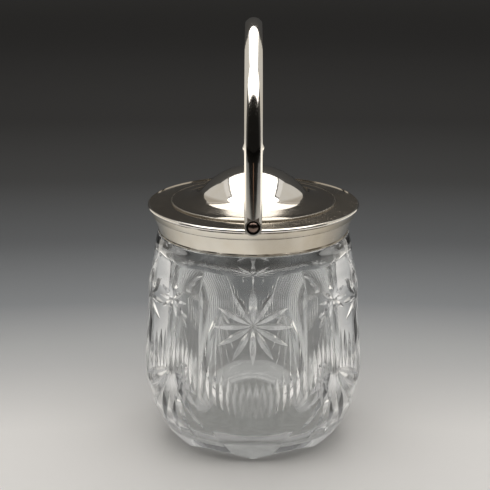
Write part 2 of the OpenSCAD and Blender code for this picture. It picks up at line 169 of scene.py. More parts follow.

# bright and warm are the two tints of the plate, rough is its range of roughness
# creases hold painted shade with some tarnish: height, half width and strength, and ring is painted shade
# with some tarnish round the pivot: height and radius
# dull is the range of heights in which the brim is painted darker, a painted dark reflection, all in metres
silvers = {
    "silverPlate": {
        "bright": (0.93, 0.90, 0.85), "warm": (0.88, 0.82, 0.72), "rough": (0.045, 0.13), "scratch": 1.0,
    },
    "silverPlateWorn": {
        "bright": (0.80, 0.76, 0.69), "warm": (0.62, 0.55, 0.45), "rough": (0.10, 0.26), "scratch": 2.0,
    },
    "silverMount": {
        "bright": (0.91, 0.87, 0.78), "warm": (0.83, 0.74, 0.60), "rough": (0.06, 0.16), "scratch": 1.0,
        # painted shade with some tarnish along these creases
        "creases": [(0.1264, 0.0006, 1.0), (0.1276, 0.0005, 0.95), (0.1372, 0.0002, 0.4),
                    (0.1409, 0.0005, 1.0)],
        # painted dark reflection on the flange's top
        "paintedDarkBrim": (0.1421, 0.16),
    },
    "silverLid": {
        "bright": (0.93, 0.90, 0.85), "warm": (0.88, 0.82, 0.72), "rough": (0.045, 0.13), "scratch": 1.0,
        # painted dark reflection on the lid's brim
        "paintedDarkBrim": (0.14, 0.1505),
    },
    "silverBail": {
        "bright": (0.93, 0.90, 0.85), "warm": (0.88, 0.82, 0.72), "rough": (0.045, 0.13), "scratch": 1.0,
        # painted shade with some tarnish round the pivot
        "ring": (0.146, 0.0037),
    },
    "rivetWorn": {
        "bright": (0.34, 0.25, 0.21), "warm": (0.14, 0.10, 0.085), "rough": (0.16, 0.3), "scratch": 2.0,
    },
    # painted shade: a darker copy of the plate that dims the lid wire's highlight
    "silverPaintedDim": {
        "bright": (0.44, 0.41, 0.36), "warm": (0.30, 0.27, 0.23), "rough": (0.22, 0.4), "scratch": 2.0,
    },
}


# painted shade, with some tarnish, in bands along the creases
def creaseShadeAndTarnish(start, coords, height, creases):
    shadeAndTarnish = 0.0
    for place, half, strength in creases:
        away = (height - place).math("ABSOLUTE", height - place)
        ragged = noise(start, coords, plating["ragged"], 2, (1, 1, 0.1)).ramp(0.25, 0.6)
        shadeAndTarnish = shadeAndTarnish + (1 - away.ramp(half * 0.6, half)) * ragged * strength
    return shadeAndTarnish


# painted shade, with some tarnish, in a disc round the pivot
def pivotShadeAndTarnish(start, coords, height, ring):
    place, radius = ring
    across = axis(start, coords, 0)
    away = (across ** 2 + (height - place) ** 2) ** 0.5
    return 1 - away.ramp(radius, radius + 0.0002)


def plated(name, bright, warm, rough, scratch, creases=(), ring=None, paintedDarkBrim=None):
    p = plating
    made, start, coords = newMaterial(name)
    height = axis(start, coords, 2)
    patches = noise(start, coords, p["patches"], 4).ramp(0.38, 0.66)
    haze = noise(start, coords, p["haze"], 5).ramp(0.35, 0.75)
    hairs = noise(start, coords, p["hairs"], 2, (1, 1, 0.02), (0.3, 0.5, 0.2))
    hairsB = noise(start, coords, p["hairs"], 2, (0.02, 1, 1), (0.4, 0.1, 0.9))
    lines = hairs.ramp(0.62, 0.70) + hairsB.ramp(0.62, 0.70)
    colour = (patches * 0.6 + haze * 0.3).mix((*bright, 1), (*warm, 1))
    low, span = rough[0], rough[1] - rough[0]
    roughness = low + patches * span * 0.5 + haze * span * 0.3 + lines * scratch * 0.06
    # painted shade with some tarnish darkens the creases and the groove round the pivot
    if creases or ring:
        where = (start, coords, height)
        shadeAndTarnish = creaseShadeAndTarnish(*where, creases) if creases else pivotShadeAndTarnish(*where, ring)
        shadeAndTarnish = shadeAndTarnish.math("MINIMUM", shadeAndTarnish, 1.0)
        colour = shadeAndTarnish.mix(colour, p["shadeAndTarnishTint"])
        roughness = roughness + shadeAndTarnish * 0.3
    if creases:
        # cloudy upright bands of wear, as a spun band shows them
        clouds = noise(start, coords, p["clouds"], 3, (1, 1, 0.12)).ramp(0.42, 0.64)
        colour = (clouds * 0.42).mix(colour, p["cloudTint"])
        roughness = roughness + clouds * 0.10
    if paintedDarkBrim:
        # painted dark reflection: the flat brim's colour is darkened below that of the bright dome and band
        brim = height.ramp(paintedDarkBrim[0] - 0.0003, paintedDarkBrim[0]) * (1 - height.ramp(paintedDarkBrim[1] - 0.0015, paintedDarkBrim[1]))
        colour = (brim * (0.62 + patches * 0.25)).mix(colour, p["brimTint"])
        roughness = roughness + brim * 0.03
    dents = noise(start, coords, p["dents"], 2)
    bump = start.node("ShaderNodeBump", {},
                      {"Strength": p["bumpStrength"], "Distance": p["dentDeep"], "Height": dents})
    bump = start.node("ShaderNodeBump", {},
                      {"Strength": p["bumpStrength"] * scratch, "Distance": p["hairDeep"],
                       "Height": lines, "Normal": bump})
    principled(start, {"Base Color": colour, "Metallic": 1.0, "Roughness": roughness, "Normal": bump})
    return made


silver = {name: plated(name, **finish) for name, finish in silvers.items()}


# ---- glass and plaster finishes
# wave is the strength of the surface's swell, and clear the share that light passes through
# glow is painted light, an emission that stands in for what a ground surface scatters of the light led to it,
# by the slope between the two values of lean
glasses = {
    "glassClear": {"colour": (0.985, 0.992, 0.988), "rough": 0.0, "wave": 0.25},
    "glassMitre": {"colour": (0.985, 0.99, 0.988), "rough": 0.12, "wave": 0.1, "clear": 0.86,
                   "paintedGlow": 0.10, "lean": (0.0, 0.7)},
    "glassFoot": {"colour": (0.985, 0.992, 0.988), "rough": 0.0, "wave": 0.25,
                  "paintedGlow": 0.075, "lean": (-1.2, -1.0)},
}


def clearGlass(name, colour, rough, wave, clear=1.0, paintedGlow=0.0, lean=(0.0, 1.0)):
    made, start, coords = newMaterial(name)
    swell = noise(start, coords, 22, 1.5)
    bump = start.node("ShaderNodeBump", {}, {"Strength": wave, "Distance": 0.0006, "Height": swell})
    film = noise(start, coords, 60, 4).ramp(0.45, 0.8)
    height = axis(start, coords, 2)
    wear = 1 - height.ramp(0.0, 0.0012)      # the foot's lowest edge is rubbed dull
    values = {"Base Color": (*colour, 1), "Roughness": rough + film * 0.01 + wear * 0.3, "IOR": 1.52,
              "Transmission Weight": clear, "Normal": bump}
    # painted light: the facets glow by their slope, with fine streaks
    if paintedGlow:
        facing = start.node("ShaderNodeNewGeometry", {}, {}, "Normal")
        upward = axis(start, facing, 2).ramp(*lean)
        streaks = noise(start, coords, 420, 3, (1, 1, 0.25)).ramp(0.35, 0.65)
        least, most = (paintedGlow * 0.15,) * 3 + (1,), (paintedGlow,) * 3 + (1,)
        values["Emission Color"] = ((streaks * 0.5 + 0.75) * upward).mix(least, most)
        values["Emission Strength"] = 1.0
    principled(start, values)
    return made


def groundBase(name):
    # the foot's worn underside, pale, with a painted glow that stands in for the light that the thick glass
    # leads down to it
    made, start, coords = newMaterial(name)
    wear = noise(start, coords, 120, 4).ramp(0.3, 0.7)
    colour = wear.mix((0.50, 0.51, 0.50, 1), (0.40, 0.41, 0.40, 1))
    # painted light: the base glows, varying with the wear
    paintedGlow = wear.mix((0.105, 0.104, 0.101, 1), (0.085, 0.084, 0.081, 1))
    principled(start, {"Base Color": colour, "Roughness": 0.5,
                       "Emission Color": paintedGlow, "Emission Strength": 1.0})
    return made


def plasterFinish(name):
    made, start, coords = newMaterial(name)
    grain = noise(start, coords, 700, 4)
    blotch = noise(start, coords, 60, 3).ramp(0.3, 0.7)
    colour = blotch.mix((0.78, 0.75, 0.69, 1), (0.66, 0.62, 0.55, 1))
    bump = start.node("ShaderNodeBump", {}, {"Strength": 0.4, "Distance": 0.0003, "Height": grain})
    principled(start, {"Base Color": colour, "Roughness": 0.75 + grain * 0.2, "Normal": bump})
    return made


glassClear, glassMitre, glassFoot = (clearGlass(name, **finish) for name, finish in glasses.items())
glassBase = groundBase("glassBase")
plaster = plasterFinish("plasterDull")
print("finishes made")


# ---- mesh helpers
def meshObject(name, points, faces, material=None, weld=False):
    made = bpy.data.meshes.new(name)
    made.from_pydata([tuple(c * mm for c in p) for p in points], [], [list(f) for f in faces])
    made.validate()
    piece = bpy.data.objects.new(name, made)
    bpy.context.scene.collection.objects.link(piece)
    if material:
        made.materials.append(material)
    if weld:
        faceOut(made)
    return piece


def faceOut(made):
    work = bmesh.new()
    work.from_mesh(made)
    bmesh.ops.remove_doubles(work, verts=work.verts, dist=1e-7)
    bmesh.ops.recalc_face_normals(work, faces=work.faces)
    work.to_mesh(made)
    work.free()


def smoothTo(piece, angle):
    piece.data.shade_smooth()
    piece.data.set_sharp_from_angle(angle=math.radians(angle))


def spun(name, profile, steps, material=None):
    # a closed profile of [radius, height] turned round the jar's axis
    points, faces = [], []
    count = len(profile)
    for i in range(steps):
        angle = 2 * math.pi * i / steps
        points += [(r * math.cos(angle), r * math.sin(angle), z) for r, z in profile]
    for i in range(steps):
        a, b = i * count, (i + 1) % steps * count
        for k in range(count):
            n = (k + 1) % count
            if max(profile[k][0], profile[n][0]) > 1e-6:      # a step along the axis sweeps no face
                faces.append([a + k, b + k, b + n, a + n])
    return meshObject(name, points, faces, material, True)


def arc(middle, radius, start, end, count):
    angles = np.radians(np.linspace(start, end, count))
    return [[middle[0] + radius * math.cos(t), middle[1] + radius * math.sin(t)] for t in angles]


def easeIn(t):
    return t * t * (3 - 2 * t)


def cut(piece, tool, operation="DIFFERENCE"):
    change = piece.modifiers.new("cut", "BOOLEAN")
    change.operation = operation
    change.solver = "MANIFOLD"
    change.object = tool
    bake(piece)
    bpy.data.objects.remove(tool)


def bake(piece):
    bpy.context.view_layer.update()
    graph = bpy.context.evaluated_depsgraph_get()
    made = bpy.data.meshes.new_from_object(piece.evaluated_get(graph), depsgraph=graph)
    piece.modifiers.clear()
    old = piece.data
    piece.data = made
    bpy.data.meshes.remove(old)


# ---- the glass jar
glass = {
    # distances from the axis to a wide panel, with their heights
    "height": 139, "shoulder": 56, "waist": 60, "waistZ": 100, "belly": 62.8, "bellyZ": 50, "foot": 49.5,
    "cornerRatio": 1.055,      # how much farther out the corner panels are
    "turnIn": 0.7,             # how tightly the belly turns in to the foot
    "rounding": 48,            # the blown blank rounds the edges off below this
    "footFlat": 15, "footShare": 0.985, "footSpread": 1.02,
    "wall": 6.2, "floor": 10, "floorFillet": 17, "neck": 53.5, "neckWall": 7, "neckHeight": 13, "lip": 0.6,
    # how soft the panels' edges are, above and below softZ, and how far they melt into the shoulder
    "edgeSoft": 0.8, "lowSoft": 12, "softZ": 48, "softRun": 16, "melt": 24,
    "steps": 256,
}
cutting = {
    "mitre": 52, "wheelSides": 144,
    "starZ": 88, "starR": 22.5, "starRays": 12, "starDepth": 1.5,
    "smallZ": 98, "smallR": 11.5, "smallRays": 10, "smallDepth": 0.95, "smallTurn": 18,
    "fringeLength": 23, "fringePitch": 3.75, "fringeDepth": 1.05, "fringeLow": 31.5, "fringeRise": 25.5,
    "fanRays": 9, "fanStep": 16.5, "fanLength": 46, "fanDepth": 1.9, "fanShorten": 0.03,
    "fanHub": 2.1, "fanStagger": 0.9, "fanDrift": 0.13, "fanSteps": 26, "fanLift": 0.8,
}
shoulderZ = glass["height"] - glass["neckHeight"]
cornerHalf = glass["cornerRatio"] * math.sqrt(2) - 1
panelEdge = math.hypot(1, cornerHalf)


def panelR(z):
    # a wide panel, hollow-ground above its belly and turning in to the foot
    g = glass
    if z > g["waistZ"]:
        return g["shoulder"] + (g["waist"] - g["shoulder"]) * math.cos(
            math.pi / 2 * (z - g["waistZ"]) / (shoulderZ - g["waistZ"]))
    if z > g["bellyZ"]:
        return g["waist"] + (g["belly"] - g["waist"]) * (
            1 + math.cos(math.pi * (z - g["bellyZ"]) / (g["waistZ"] - g["bellyZ"]))) / 2
    rise = max(0, 1 - ((g["bellyZ"] - z) / g["bellyZ"]) ** 2)
    return g["foot"] + (g["belly"] - g["foot"]) * rise ** g["turnIn"]


def blankR(z):
    # the blown blank, which rounds the panels' edges off at the foot and clears them above
    share = min(1, (z + 3) / glass["rounding"])
    return panelR(z) * (1 + (panelEdge - 1) * share) + (0.5 if share == 1 else 0)


bellyHalfWide = glass["belly"] * cornerHalf
cornerHalfWide = glass["belly"] * math.sqrt(panelEdge ** 2 - glass["cornerRatio"] ** 2)
sweepRound = bellyHalfWide + cornerHalfWide


def cornerX(z, across):
    # the surface at a corner: its flat, the two wide panels beside it, or the bowl
    return min(glass["cornerRatio"] * panelR(z), math.sqrt(2) * panelR(z) - abs(across),
               math.sqrt(max(1, blankR(z) ** 2 - across ** 2)))


def footFlatR(z):
    # the flats that make the foot an octagon
    share = glass["footShare"] * math.cos(math.radians(22.5))
    return panelR(z) * (share + (panelEdge * glass["footSpread"] - share) * z / glass["footFlat"])


def swagZ(s):
    # the fringe's lower edge hangs in a swag between the corners
    return cutting["fringeLow"] + cutting["fringeRise"] * (1 - math.cos(math.pi * s / sweepRound)) / 2


def stackRings(name, rings):
    count = len(rings[0])
    points = [p for ring in rings for p in ring]
    faces = []
    for i in range(len(rings) - 1):
        a, b = i * count, (i + 1) * count
        faces += [[a + k, a + (k + 1) % count, b + (k + 1) % count, b + k] for k in range(count)]
    last = (len(rings) - 1) * count
    faces += [list(range(count))[::-1], [last + k for k in range(count)]]
    return meshObject(name, points, faces, None, True)


def panelledForm():
    # eight ground panels, whose edges are softened as fire polish leaves them, more so on the bowl,
    # and melt into the round shoulder
    g = glass
    edgeAngle = math.atan(cornerHalf)
    rings = []
    for z in np.concatenate([np.linspace(0, 16, 28), np.linspace(16.6, shoulderZ, 130)]):
        low = min(1, max(0, (g["softZ"] - z) / g["softRun"]))
        soft = g["edgeSoft"] + (g["lowSoft"] - g["edgeSoft"]) * easeIn(low)
        melt = easeIn(min(1, max(0, (z - shoulderZ + g["melt"]) / g["melt"])))
        r = panelR(z) * panelEdge
        corners = [Vector((math.cos(a), math.sin(a))) * r for side in range(4)
                   for a in (side * math.pi / 2 - edgeAngle, side * math.pi / 2 + edgeAngle)]
        ring = []
        for k, corner in enumerate(corners):
            follow = corners[(k + 1) % 8]
            toLast, toNext = (corners[k - 1] - corner).normalized(), (follow - corner).normalized()
            start, end = corner + toLast * soft, corner + toNext * soft
            line = [start * (1 - t) ** 2 + corner * 2 * t * (1 - t) + end * t ** 2
                    for t in np.linspace(0, 1, 9)]
            line += [end.lerp(follow - toNext * soft, t) for t in np.linspace(0, 1, 6)[1:-1]]
            line = [p.lerp(p.normalized() * panelR(z) * 1.01, melt) for p in line]
            ring += [(p.x, p.y, z) for p in line]
        rings.append(ring)
    return stackRings("panelledForm", rings)


def blankForm():
    heights = np.concatenate([np.linspace(0, 52, 80), [53, 80], np.linspace(shoulderZ - 22, shoulderZ, 60)])
    return spun("blankForm", [[0, 0]] + [[blankR(z), z] for z in heights] + [[0, shoulderZ]], glass["steps"])


def footBar(turn):
    # a long bar between two opposite flats of the foot
    side = [[footFlatR(z), z] for z in np.linspace(0, glass["footFlat"], 20)]
    side += [[150, glass["footFlat"] + 1], [150, shoulderZ]]
    outline = side + [[-x, z] for x, z in side[::-1]]
    c, s = math.cos(turn), math.sin(turn)
    rings = [[(x * c - y * s, x * s + y * c, z) for x, z in outline] for y in (-160, 160)]
    return stackRings("footBar", rings)


def cavityLine():
    # the round inside, from the middle of the floor to the throat
    g = glass
    throat = g["neck"] - g["neckWall"]
    lowZ, topZ = g["floor"] + g["floorFillet"], shoulderZ - g["neckHeight"]
    filletMid = panelR(lowZ) - g["wall"] - g["floorFillet"]
    topR = panelR(topZ) - g["wall"]
    line = [[0, g["floor"]]]
    line += [[filletMid + g["floorFillet"] * math.sin(t), g["floor"] + g["floorFillet"] * (1 - math.cos(t))]
             for t in np.radians(np.linspace(0, 90, 28))]
    line += [[panelR(z) - g["wall"], z] for z in np.linspace(lowZ + 1.5, topZ - 1.5, 56)]
    line += [[throat + (topR - throat) * (1 + math.cos(math.pi * t)) / 2, topZ + t * g["neckHeight"]]
             for t in np.linspace(0, 1, 24)]
    return line


def cavityForm():
    line, top = cavityLine(), glass["height"] + 2
    return spun("cavityForm", line + [[line[-1][0], top], [0, top]], glass["steps"])


def readAll(source, key, size=1):
    flat = np.zeros(len(source) * size)
    source.foreach_get(key, flat)
    return flat.reshape(-1, size) if size > 1 else flat


def trueNormals(piece):
    # the cuts leave long thin triangles, so the inside and the flat panels get their exact normals back
    data = piece.data
    corner = readAll(data.corner_normals, "vector", 3)
    vertex = readAll(data.loops, "vertex_index").astype(int)
    x, y, z = (readAll(data.vertices, "co", 3)[vertex] / mm).T
    sides = readAll(data.polygons, "loop_total").astype(int)
    face = np.repeat(readAll(data.polygons, "normal", 3), sides, axis=0)

    def settle(near, right, least):
        right = right / np.linalg.norm(right, axis=1)[:, None]
        good = near & ((right * face).sum(axis=1) > least)
        corner[good] = right[good]
        return int(good.sum())

    line = np.array(cavityLine())
    along = np.gradient(line, axis=0)
    r = np.maximum(np.hypot(x, y), 1e-6)
    nearest, gap = np.zeros(len(r), int), np.full(len(r), 9e9)
    for k, (lineR, lineZ) in enumerate(line):
        away = (r - lineR) ** 2 + (z - lineZ) ** 2
        nearest[away < gap], gap = k, np.minimum(gap, away)
    inward, up = -along[nearest, 1], along[nearest, 0]
    settled = settle(gap < 0.05 ** 2, np.stack([inward * x / r, inward * y / r, up], axis=1), 0.9)
    heights = np.linspace(0, shoulderZ, 2000)
    radii = np.array([panelR(h) for h in heights])
    panel, slope = np.interp(z, heights, radii), np.interp(z, heights, np.gradient(radii, heights))
    for side in range(8):
        ratio = glass["cornerRatio"] if side % 2 else 1
        c, s = math.cos(side * math.pi / 4), math.sin(side * math.pi / 4)
        near = (abs(x * c + y * s - ratio * panel) < 0.02) & (z < shoulderZ)
        settled += settle(near, np.stack([c + 0 * x, s + 0 * x, -ratio * slope], axis=1), 0.985)
    data.normals_split_custom_set(corner)
    print("true normals on", settled, "of", len(r), "corners")


def wheelForm():
    # the mitre wheel: a double cone of radius 1 mm, its axle on Y
    n, tall = cutting["wheelSides"], math.tan(math.radians(cutting["mitre"]))
    points = [(math.cos(2 * math.pi * i / n), 0, math.sin(2 * math.pi * i / n)) for i in range(n)]
    points += [(0, -tall, 0), (0, tall, 0)]
    faces = [[(i + 1) % n, i, n] for i in range(n)] + [[i, (i + 1) % n, n + 1] for i in range(n)]
    return meshObject("mitreWheel", points, faces, glassMitre, True)


def sink(p, q, depth, ratio, turn):
    # where the wheel stands, how it is turned and its radius, for one cut from p to q
    pR, qR = ratio * panelR(p[1]), ratio * panelR(q[1])
    run = math.dist(p, q)
    length = math.hypot(run, qR - pR)
    wheelR = (length ** 2 / 4 + depth ** 2) / (2 * depth)
    place = (Matrix.Rotation(turn, 4, "Z")
             @ Matrix.Translation(((pR + qR) / 2, (p[0] + q[0]) / 2, (p[1] + q[1]) / 2))
             @ Matrix.Rotation(-math.atan2(q[0] - p[0], q[1] - p[1]), 4, "X")
             @ Matrix.Rotation(math.atan2(qR - pR, run), 4, "Y")
             @ Matrix.Translation((wheelR - depth, 0, 0)))
    return place, wheelR


def starSinks(z, radius, rays, depth, ratio, first, turn):
    hub = radius / rays / 2
    made = []
    for i in range(rays):
        angle = math.radians(first + i * 360 / rays)
        way = Vector((math.sin(angle), math.cos(angle)))
        made.append(sink(Vector((0, z)) + hub * way, Vector((0, z)) + radius * way, depth, ratio, turn))
    return made


def fringeSinks(halfWide, ratio, start, turn):
    pitch = cutting["fringePitch"]
    count = math.floor(halfWide / pitch + 0.1)
    made = []
    for i in range(-count, count):
        across = (i + 0.5) * pitch
        low = swagZ(start + (1 if start == 0 else -1) * abs(across))
        high = low + cutting["fringeLength"]
        made.append(sink((across, low), (across, high), cutting["fringeDepth"], ratio, turn))
    return made


def fanBlades(turn):
    # leaves that follow the corner panel's curve, too long for one pass of the wheel
    c = cutting
    steps, lift = c["fanSteps"], c["fanLift"]
    origin = Vector((0, c["fringeLow"] + c["fringeRise"]))
    half = (c["fanRays"] - 1) // 2
    turned = Matrix.Rotation(turn, 4, "Z")
    made = []
    for i in range(-half, half + 1):
        angle = math.radians(i * c["fanStep"])
        way = Vector((math.sin(angle), -math.cos(angle)))
        ray = min(c["fanLength"] * (1 - c["fanShorten"] * abs(i)),
                  (cornerHalfWide - 1) / max(0.1, abs(way.x)))
        start = c["fanHub"] + c["fanStagger"] * (abs(i) % 2) + c["fanDrift"] * abs(i)
        points = []
        for k in range(steps + 1):
            t = k / steps
            u = origin + way * (start + (ray - start) * t)
            out = Vector((1, cornerX(u.y, u.x - 0.5) - cornerX(u.y, u.x + 0.5),
                          cornerX(u.y - 0.5, u.x) - cornerX(u.y + 0.5, u.x))).normalized()
            side = out.cross(Vector((0, way.x, way.y))).normalized()
            deep = c["fanDepth"] * max(0, math.sin(math.pi * t)) ** 0.8
            wide = (deep + lift) * math.tan(math.radians(c["mitre"]))
            at = Vector((cornerX(u.y, u.x), u.x, u.y))
            leaf = (at + out * lift + side * wide, at + out * lift - side * wide, at - out * deep)
            points += [turned @ p for p in leaf]
        faces = [[2, 1, 0], [3 * steps, 3 * steps + 1, 3 * steps + 2]]
        faces += [[3 * k + n, 3 * k + (n + 1) % 3, 3 * k + 3 + (n + 1) % 3, 3 * k + 3 + n]
                  for k in range(steps) for n in range(3)]
        made.append(meshObject("fanBlade", [tuple(p) for p in points], faces, glassMitre, True))
    return made


def cuttingTree():
    # sinks a wheel at every point of one mesh and every blade of a collection into the glass
    tree = bpy.data.node_groups.new("cutGlass", "GeometryNodeTree")
    tree.is_modifier = True
    for name, kind in (("Glass", "NodeSocketGeometry"), ("Wheel", "NodeSocketObject"),
                       ("Sinks", "NodeSocketObject"), ("Blades", "NodeSocketCollection"),
                       ("Wheel Size", "NodeSocketFloat"), ("Finish", "NodeSocketMaterial")):
        tree.interface.new_socket(name, in_out="INPUT", socket_type=kind)
    tree.interface.new_socket("Cut Glass", in_out="OUTPUT", socket_type="NodeSocketGeometry")
    nodes, link = tree.nodes, tree.links.new
    given, result = nodes.new("NodeGroupInput"), nodes.new("NodeGroupOutput")
    wheel, sinks = nodes.new("GeometryNodeObjectInfo"), nodes.new("GeometryNodeObjectInfo")
    blades = nodes.new("GeometryNodeCollectionInfo")
    blades.inputs["Separate Children"].default_value = True
    turn, size = nodes.new("GeometryNodeInputNamedAttribute"), nodes.new("GeometryNodeInputNamedAttribute")
    turn.data_type, size.data_type = "FLOAT_VECTOR", "FLOAT"
    turn.inputs["Name"].default_value, size.inputs["Name"].default_value = "turn", "wheelRadius"
    rotation = nodes.new("FunctionNodeEulerToRotation")
    scaled = nodes.new("ShaderNodeMath")
    scaled.operation = "MULTIPLY"
    placed = nodes.new("GeometryNodeInstanceOnPoints")
    grind = nodes.new("GeometryNodeMeshBoolean")
    grind.operation, grind.solver = "DIFFERENCE", "MANIFOLD"
    real, coat = nodes.new("GeometryNodeRealizeInstances"), nodes.new("GeometryNodeSetMaterial")
    coatIndex, isPlain = nodes.new("GeometryNodeInputMaterialIndex"), nodes.new("FunctionNodeCompare")
    isPlain.data_type, isPlain.operation = "INT", "EQUAL"
    isPlain.inputs[3].default_value = 0
    link(given.outputs["Wheel"], wheel.inputs["Object"])
    link(given.outputs["Sinks"], sinks.inputs["Object"])
    link(given.outputs["Blades"], blades.inputs["Collection"])
    link(sinks.outputs["Geometry"], placed.inputs["Points"])
    link(wheel.outputs["Geometry"], placed.inputs["Instance"])
    link(turn.outputs["Attribute"], rotation.inputs["Euler"])
    link(rotation.outputs["Rotation"], placed.inputs["Rotation"])
    link(size.outputs["Attribute"], scaled.inputs[0])
    link(given.outputs["Wheel Size"], scaled.inputs[1])
    link(scaled.outputs[0], placed.inputs["Scale"])
    link(given.outputs["Glass"], grind.inputs["Mesh 1"])
    link(placed.outputs["Instances"], grind.inputs["Mesh 2"])
    link(blades.outputs["Instances"], grind.inputs["Mesh 2"])
    link(grind.outputs["Mesh"], real.inputs["Geometry"])
    link(coatIndex.outputs["Material Index"], isPlain.inputs[2])
    link(real.outputs["Geometry"], coat.inputs["Geometry"])
    link(isPlain.outputs["Result"], coat.inputs["Selection"])
    link(given.outputs["Finish"], coat.inputs["Material"])
    link(coat.outputs["Geometry"], result.inputs["Cut Glass"])
    return tree


def setInput(change, name, value):
    for item in change.node_group.interface.items_tree:
        if item.in_out == "INPUT" and item.name == name:
            change[item.identifier] = value


def plainGlass():
    # the blown and ground jar before it is cut
    g = glass
    body = panelledForm()
    cut(body, blankForm(), "INTERSECT")
    for k in range(4):
        cut(body, footBar(math.radians(45 * k + 22.5)), "INTERSECT")
    low, top, lip = shoulderZ - 1, g["height"], g["lip"]
    neck = [[0, low], [g["neck"], low], [g["neck"], top - lip], [g["neck"] - lip, top], [0, top]]
    cut(body, spun("neckForm", neck, g["steps"]), "UNION")
    cut(body, cavityForm())
    body.data.materials.clear()
    body.data.materials.append(glassClear)
    return body


def allSinks():
    c = cutting
    made = []
    for side in range(4):
        turn = side * math.pi / 2
        made += starSinks(c["starZ"], c["starR"], c["starRays"], c["starDepth"], 1, 0, turn)
        made += fringeSinks(bellyHalfWide, 1, 0, turn)
        turn += math.pi / 4
        made += starSinks(c["smallZ"], c["smallR"], c["smallRays"], c["smallDepth"], glass["cornerRatio"],
                          c["smallTurn"], turn)
        made += fringeSinks(cornerHalfWide, glass["cornerRatio"], sweepRound, turn)
    return made


def sinkMarks(sinks):
    # a point for every pass of the wheel, with the wheel's turn and radius
    marks = meshObject("wheelSinks", [tuple(place.to_translation()) for place, _ in sinks], [])
    turns = marks.data.attributes.new("turn", "FLOAT_VECTOR", "POINT")
    turns.data.foreach_set("vector", np.ravel([place.to_euler() for place, _ in sinks]))
    radii = marks.data.attributes.new("wheelRadius", "FLOAT", "POINT")
    radii.data.foreach_set("value", [size for _, size in sinks])
    return marks


def finishFoot(body):
    # the base stands pale with a painted glow, and the foot's eight facets get a painted glow for the light
    # they lead from it
    materials = body.data.materials
    base, facet = len(materials), len(materials) + 1
    materials.append(glassBase)
    materials.append(glassFoot)
    for face in body.data.polygons:
        if face.normal.z < -0.99 and face.center.z < 0.05 * mm:
            face.material_index = base
        elif face.normal.z < -0.3 and face.center.z < glass["footFlat"] * mm and face.material_index == 0:
            face.material_index = facet


def makeGlass():
    body = plainGlass()
    sinks = allSinks()
    wheel, marks = wheelForm(), sinkMarks(sinks)
    blades = bpy.data.collections.new("fanBlades")
    for side in range(4):
        for blade in fanBlades(math.pi / 4 + side * math.pi / 2):
            bpy.context.scene.collection.objects.unlink(blade)
            blades.objects.link(blade)
    change = body.modifiers.new("cutting", "NODES")
    change.node_group = cuttingTree()
    for name, value in (("Wheel", wheel), ("Sinks", marks), ("Blades", blades),
                        ("Wheel Size", 1.0), ("Finish", glassClear)):
        setInput(change, name, value)
    bake(body)
    for tool in [wheel, marks] + list(blades.objects):
        bpy.data.objects.remove(tool)
    bpy.data.collections.remove(blades)
    body.name = "cutGlassJar"
    finishFoot(body)
    smoothTo(body, 13)
    trueNormals(body)
    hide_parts("glass_body")
    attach(body, "jar")
    print("glass cut:", len(body.data.polygons), "faces,", len(sinks), "passes of the wheel")


makeGlass()


# ---- the silver mount
mount = {
    "bandR": 55.8, "flare": 3.4, "flareBend": 1.35, "footZ": 126.25, "bead": 0.8,
    "stepZ": 137, "stepWide": 0.5,
    "flangeR": 60.9, "flangeZ": 143, "flangeThick": 1.3, "seatR": 49, "seatZ": 143.8, "lip": 0.5,
    "mouthR": 44, "metal": 1.1, "throatZ": 132.8, "steps": 288,
    # a lug's notch in the flange's edge
    "notchY": 60.5, "notchDeep": 3, "notchWide": 8.4, "notchZ": (136, 148),
}

def makeMount():
    m = mount
    lowZ = m["footZ"] + m["bead"]

    def flareLine(r, count):
        return [[r + m["flare"] * t ** m["flareBend"], lowZ + (m["stepZ"] - lowZ) * t]
                for t in np.linspace(0, 1, count)]

    coveR, coveZ = m["bandR"] + m["flare"] + m["stepWide"], m["stepZ"] + m["stepWide"]
    coveTall = m["flangeZ"] - m["flangeThick"] - coveZ
    cove = [[coveR + (m["flangeR"] - coveR) * (1 - math.cos(t)), coveZ + coveTall * math.sin(t)]
            for t in np.radians(np.linspace(0, 90, 14))]
    bead = arc([m["bandR"] - m["bead"] / 2, lowZ], m["bead"], -90, 52, 14)
    flange = [[m["flangeR"] + (m["seatR"] - m["flangeR"]) * t,
               m["flangeZ"] + (m["seatZ"] - m["flangeZ"]) * easeIn(t)] for t in np.linspace(0, 1, 16)]
    lip = arc([m["mouthR"] + m["lip"], m["seatZ"] - m["lip"]], m["lip"], 90, 180, 6)
    inner, throatR = m["bandR"] - m["metal"], m["mouthR"] + m["metal"]
    profile = [[m["mouthR"], m["throatZ"]], [throatR, m["throatZ"]],
               [throatR, m["seatZ"] - m["metal"]], [inner + m["flare"], m["flangeZ"] - m["metal"]]]
    profile += flareLine(inner, 12)[::-1] + [[inner, m["footZ"]]] + bead
    profile += [p for p in flareLine(m["bandR"], 28) if p[1] > bead[-1][1]] + cove + flange + lip
    piece = spun("flaredMount", profile, m["steps"], silver["silverMount"])
    for side in (-1, 1):
        y0, y1 = sorted((side * m["notchY"], side * (m["notchY"] + m["notchDeep"])))
        half = m["notchWide"] / 2
        ring = [(-half, y0), (half, y0), (half, y1), (-half, y1)]
        cut(piece, stackRings("notch", [[(x, y, z) for x, y in ring] for z in m["notchZ"]]))
    smoothTo(piece, 28)
    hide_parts("mount_collar")
    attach(piece, "jar")

makeMount()


# ---- the lid
lid = {
    "edgeR": 47.75, "seatZ": 143.8, "sheet": 0.9, "domeTop": 164.1, "ballR": 39.5, "domeTilt": 49.5,
    "hollowR": 12, "brimTilt": 16.5, "brimLowR": 42.8, "brimBend": 1.05, "studR": 2.05, "steps": 288,
}

